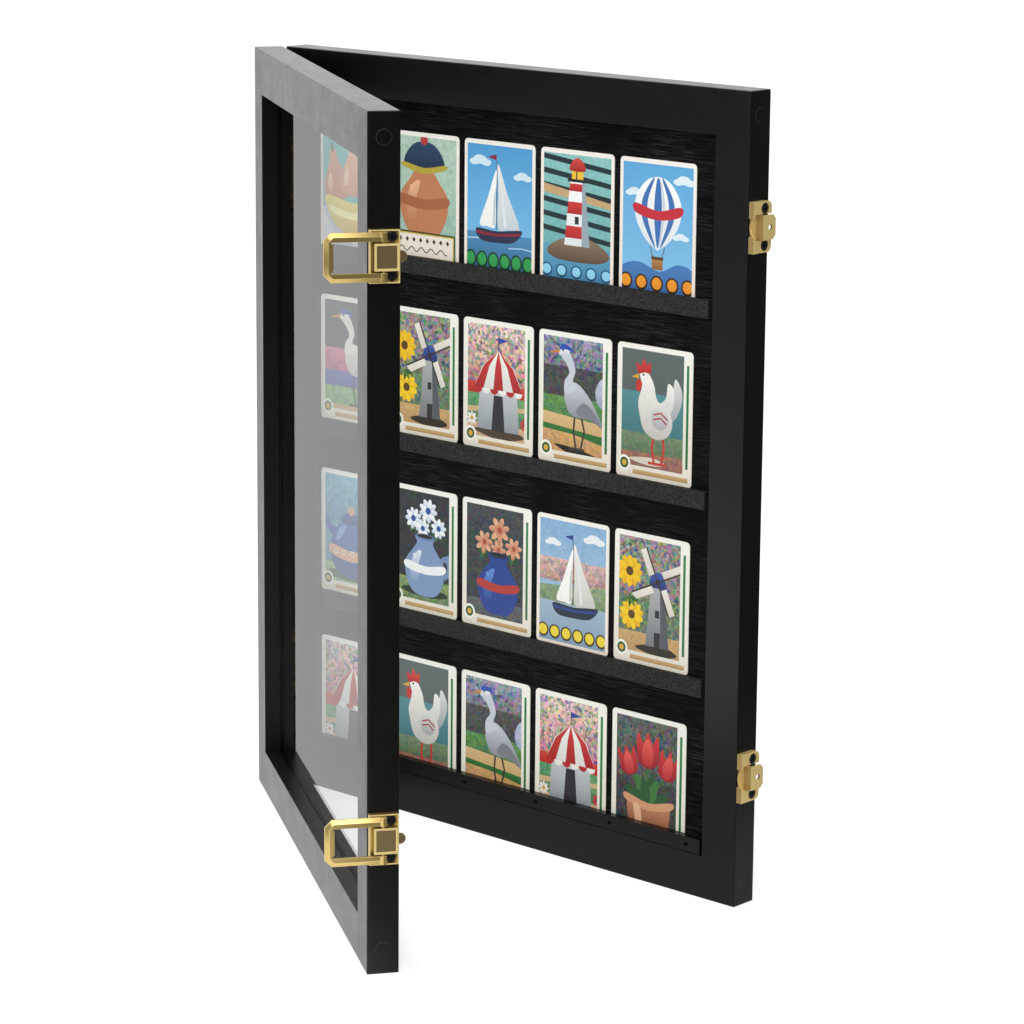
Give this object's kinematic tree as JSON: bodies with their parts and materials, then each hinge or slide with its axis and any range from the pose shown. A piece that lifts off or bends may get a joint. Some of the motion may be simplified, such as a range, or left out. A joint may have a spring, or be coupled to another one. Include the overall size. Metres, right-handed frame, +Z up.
{
  "type": "card display case",
  "caption": "Shallow wall display case for trading cards: a framed glass door on butt hinges, held by bail latches, in front of rows of cards on ledges.",
  "frame": {"origin": "centre of the underside of the case, at mid-width and mid-depth", "axes": "+Z up, +X to the right as seen from the front, +Y to the back, towards the wall; the door hangs at -X and stands 34.5 degrees open at rest"},
  "size_m": [0.4322, 0.3003, 0.53],
  "materials": {
    "black_wood": "satin black paint",
    "black_board": "matt black paint",
    "black_ledge": "worn matt black paint",
    "glass": "clear float glass",
    "brass": "bright brass plate",
    "black_screw": "black oxide",
    "steel": "zinc plated",
    "card_stock": "gloss coated card"
  },
  "bodies": {
    "case": {"back_panel": "black_board", "back_panel_nails": "steel", "bottom_ledge": "black_ledge", "bottom_ledge_nails": "steel", "card_row1_column1": "card_stock", "card_row1_column2": "card_stock", "card_row1_column3": "card_stock", "card_row1_column4": "card_stock", "card_row1_column5": "card_stock", "card_row2_column1": "card_stock", "card_row2_column2": "card_stock", "card_row2_column3": "card_stock", "card_row2_column4": "card_stock", "card_row2_column5": "card_stock", "card_row3_column1": "card_stock", "card_row3_column2": "card_stock", "card_row3_column3": "card_stock", "card_row3_column4": "card_stock", "card_row3_column5": "card_stock", "card_row4_column1": "card_stock", "card_row4_column2": "card_stock", "card_row4_column3": "card_stock", "card_row4_column4": "card_stock", "card_row4_column5": "card_stock", "case_joint_screws": "steel", "case_plugs": "black_wood", "case_rail_bottom": "black_wood", "case_rail_top": "black_wood", "case_stile_left": "black_wood", "case_stile_right": "black_wood", "catch_lower": "brass", "catch_screws": "black_screw", "catch_upper": "brass", "hanger_nails": "steel", "hinge_case_leaf_lower": "brass", "hinge_case_leaf_upper": "brass", "hinge_case_screws": "brass", "hinge_pins": "brass", "ledge_lower": "black_ledge", "ledge_middle": "black_ledge", "ledge_upper": "black_ledge", "wall_hangers": "steel"},
    "door": {"bail_pins": "brass", "door_joint_screws": "steel", "door_plugs": "black_wood", "door_rail_bottom": "black_wood", "door_rail_top": "black_wood", "door_stile_free": "black_wood", "door_stile_hinge": "black_wood", "glass_pane": "glass", "hinge_door_leaf_lower": "brass", "hinge_door_leaf_upper": "brass", "hinge_door_screws": "brass", "latch_base_lower": "brass", "latch_base_upper": "brass", "latch_screws": "black_screw"},
    "bail_upper": {"bail_upper": "brass"},
    "bail_lower": {"bail_lower": "brass"}
  },
  "joints": [
    {"name": "door_hinge", "type": "hinge", "parent": "case", "child": "door", "pos_m": [-0.2095, -0.01025, 0.265], "axis": [0, 0, -1], "range_deg": [-34.5, 145.5]},
    {"name": "bail_upper_pivot", "type": "hinge", "parent": "door", "child": "bail_upper", "pos_m": [0.13158, -0.25832, 0.4445], "axis": [0, 0, 1], "range_deg": [0, 180]},
    {"name": "bail_lower_pivot", "type": "hinge", "parent": "door", "child": "bail_lower", "pos_m": [0.13158, -0.25832, 0.087], "axis": [0, 0, 1], "range_deg": [0, 180]}
  ]
}
